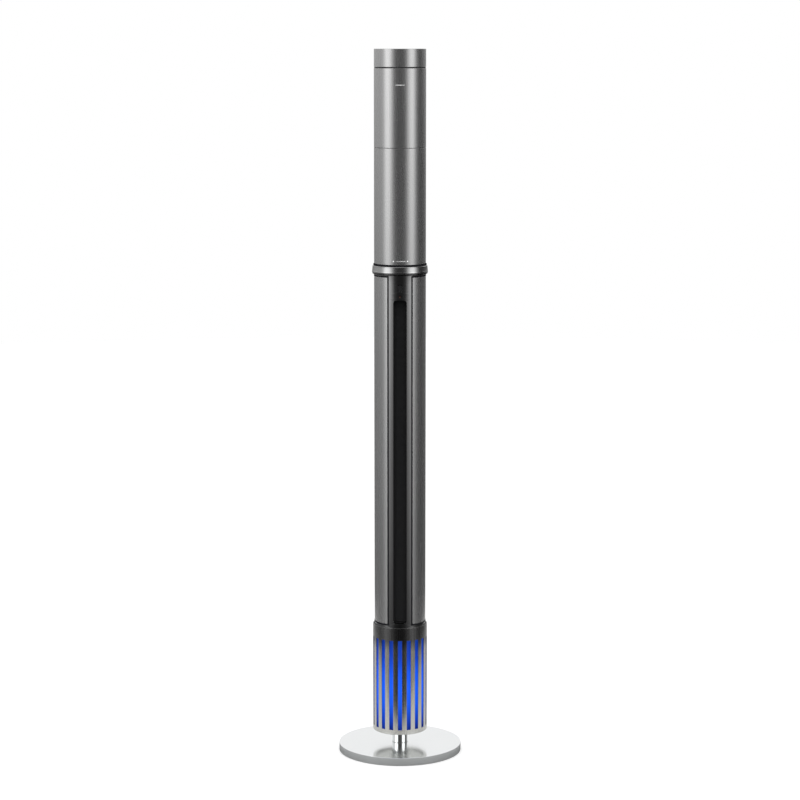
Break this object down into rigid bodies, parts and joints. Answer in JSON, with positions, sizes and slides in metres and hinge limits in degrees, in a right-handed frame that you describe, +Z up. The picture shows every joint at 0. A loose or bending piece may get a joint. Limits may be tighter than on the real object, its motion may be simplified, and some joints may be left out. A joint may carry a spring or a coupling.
{
  "type": "tower fan",
  "caption": "Slim floor-standing tower fan: cylindrical column with a tall front air slot, turning control ring, blue-lit slotted cage, chrome pole and round weighted base.",
  "frame": {"origin": "middle of the underside of the foot ring, where the fan stands on the floor", "axes": "+Z up the column, -Y out of the air slot (the front), +X to the right as seen from the front"},
  "size_m": [0.2096, 0.2096, 1.2],
  "materials": {
    "gunmetal": "satin vertically brushed, gunmetal anodised",
    "dark_metal": "glossy dark graphite lacquer",
    "nickel": "satin warm nickel",
    "ring_metal": "bright, finely textured",
    "steel": "plain machined or pressed",
    "chrome": "mirror chrome",
    "base_polish": "polished stainless, satin rim",
    "iron": "cast",
    "black_plastic": "black moulded",
    "grey_plastic": "grey moulded",
    "white_plastic": "natural acetal",
    "blue_diffuser": "translucent, lit blue from inside",
    "rubber": "matte black",
    "circuit_board": "green laminate",
    "brass": "sintered bearing bronze",
    "felt": "pressed felt",
    "smoked_lens": "smoked infrared lens"
  },
  "bodies": {
    "base": {"foot_ring": "rubber", "base_cover": "base_polish", "base_weight": "iron", "pole_nut": "steel", "pole": "chrome", "pole_plug": "steel", "spindle": "steel", "sun_gear": "white_plastic", "thrust_washer": "brass", "pivot_circlip": "steel"},
    "tower": {"cage_sleeve": "nickel", "cage_floor": "nickel", "floor_bush": "white_plastic", "light_diffuser": "blue_diffuser", "led_column": "white_plastic", "lower_bulkhead": "black_plastic", "pivot_bush": "brass", "oscillation_motor": "steel", "column_screw_1": "steel", "column_screw_2": "steel", "column_screw_3": "steel", "column_frame": "dark_metal", "side_panel_left": "gunmetal", "side_panel_right": "gunmetal", "gasket_left": "rubber", "gasket_right": "rubber", "outlet_guard": "black_plastic", "rear_grille": "dark_metal", "grille_screw_1": "steel", "grille_screw_2": "steel", "scroll_wall": "black_plastic", "vortex_tongue": "black_plastic", "bearing_plate": "black_plastic", "lower_bearing": "brass", "upper_plate": "black_plastic", "status_lens": "smoked_lens", "control_board": "circuit_board", "button_switch": "black_plastic", "neck_tube": "black_plastic", "ring_seal": "rubber", "motor_mount": "steel", "fan_motor": "steel", "electronics_tray": "grey_plastic", "power_board": "circuit_board", "lower_sleeve": "gunmetal", "sleeve_joiner": "black_plastic", "upper_sleeve": "gunmetal", "fragrance_tray": "black_plastic", "fragrance_pad": "felt", "power_inlet": "black_plastic", "wiring_loom": "rubber"},
    "pinion": {"drive_pinion": "white_plastic"},
    "fan_wheel": {"impeller": "black_plastic", "shaft_coupling": "rubber", "motor_shaft": "steel"},
    "ring": {"control_ring": "ring_metal", "ring_magnet": "iron"},
    "button": {"power_button": "black_plastic"},
    "cap": {"top_cap": "gunmetal", "cap_seal": "rubber"}
  },
  "joints": [
    {"name": "oscillation", "type": "hinge", "parent": "base", "child": "tower", "pos_m": [0, 0, 0.215], "axis": [0, 0, 1], "range_deg": [-45, 45]},
    {"name": "pinion_spin", "type": "hinge", "parent": "tower", "child": "pinion", "pos_m": [0.024, 0, 0.2081], "axis": [0, 0, 1], "range_deg": [-136, 136]},
    {"name": "wheel_spin", "type": "hinge", "parent": "tower", "child": "fan_wheel", "pos_m": [0, 0.005, 0.512], "axis": [0, 0, 1], "continuous": true},
    {"name": "ring_turn", "type": "hinge", "parent": "tower", "child": "ring", "pos_m": [0, 0, 0.8343], "axis": [0, 0, 1], "range_deg": [0, 270]},
    {"name": "button_press", "type": "slide", "parent": "tower", "child": "button", "axis": [0, 1, 0], "range_m": [0, 0.0008], "stiffness_N_per_m": 600, "springref_m": -0.0005},
    {"name": "cap_lift", "type": "slide", "parent": "tower", "child": "cap", "axis": [0, 0, 1], "range_m": [0, 0.03]}
  ],
  "couplings": [
    {"joint": "pinion_spin", "follows": "oscillation", "ratio": 3}
  ]
}
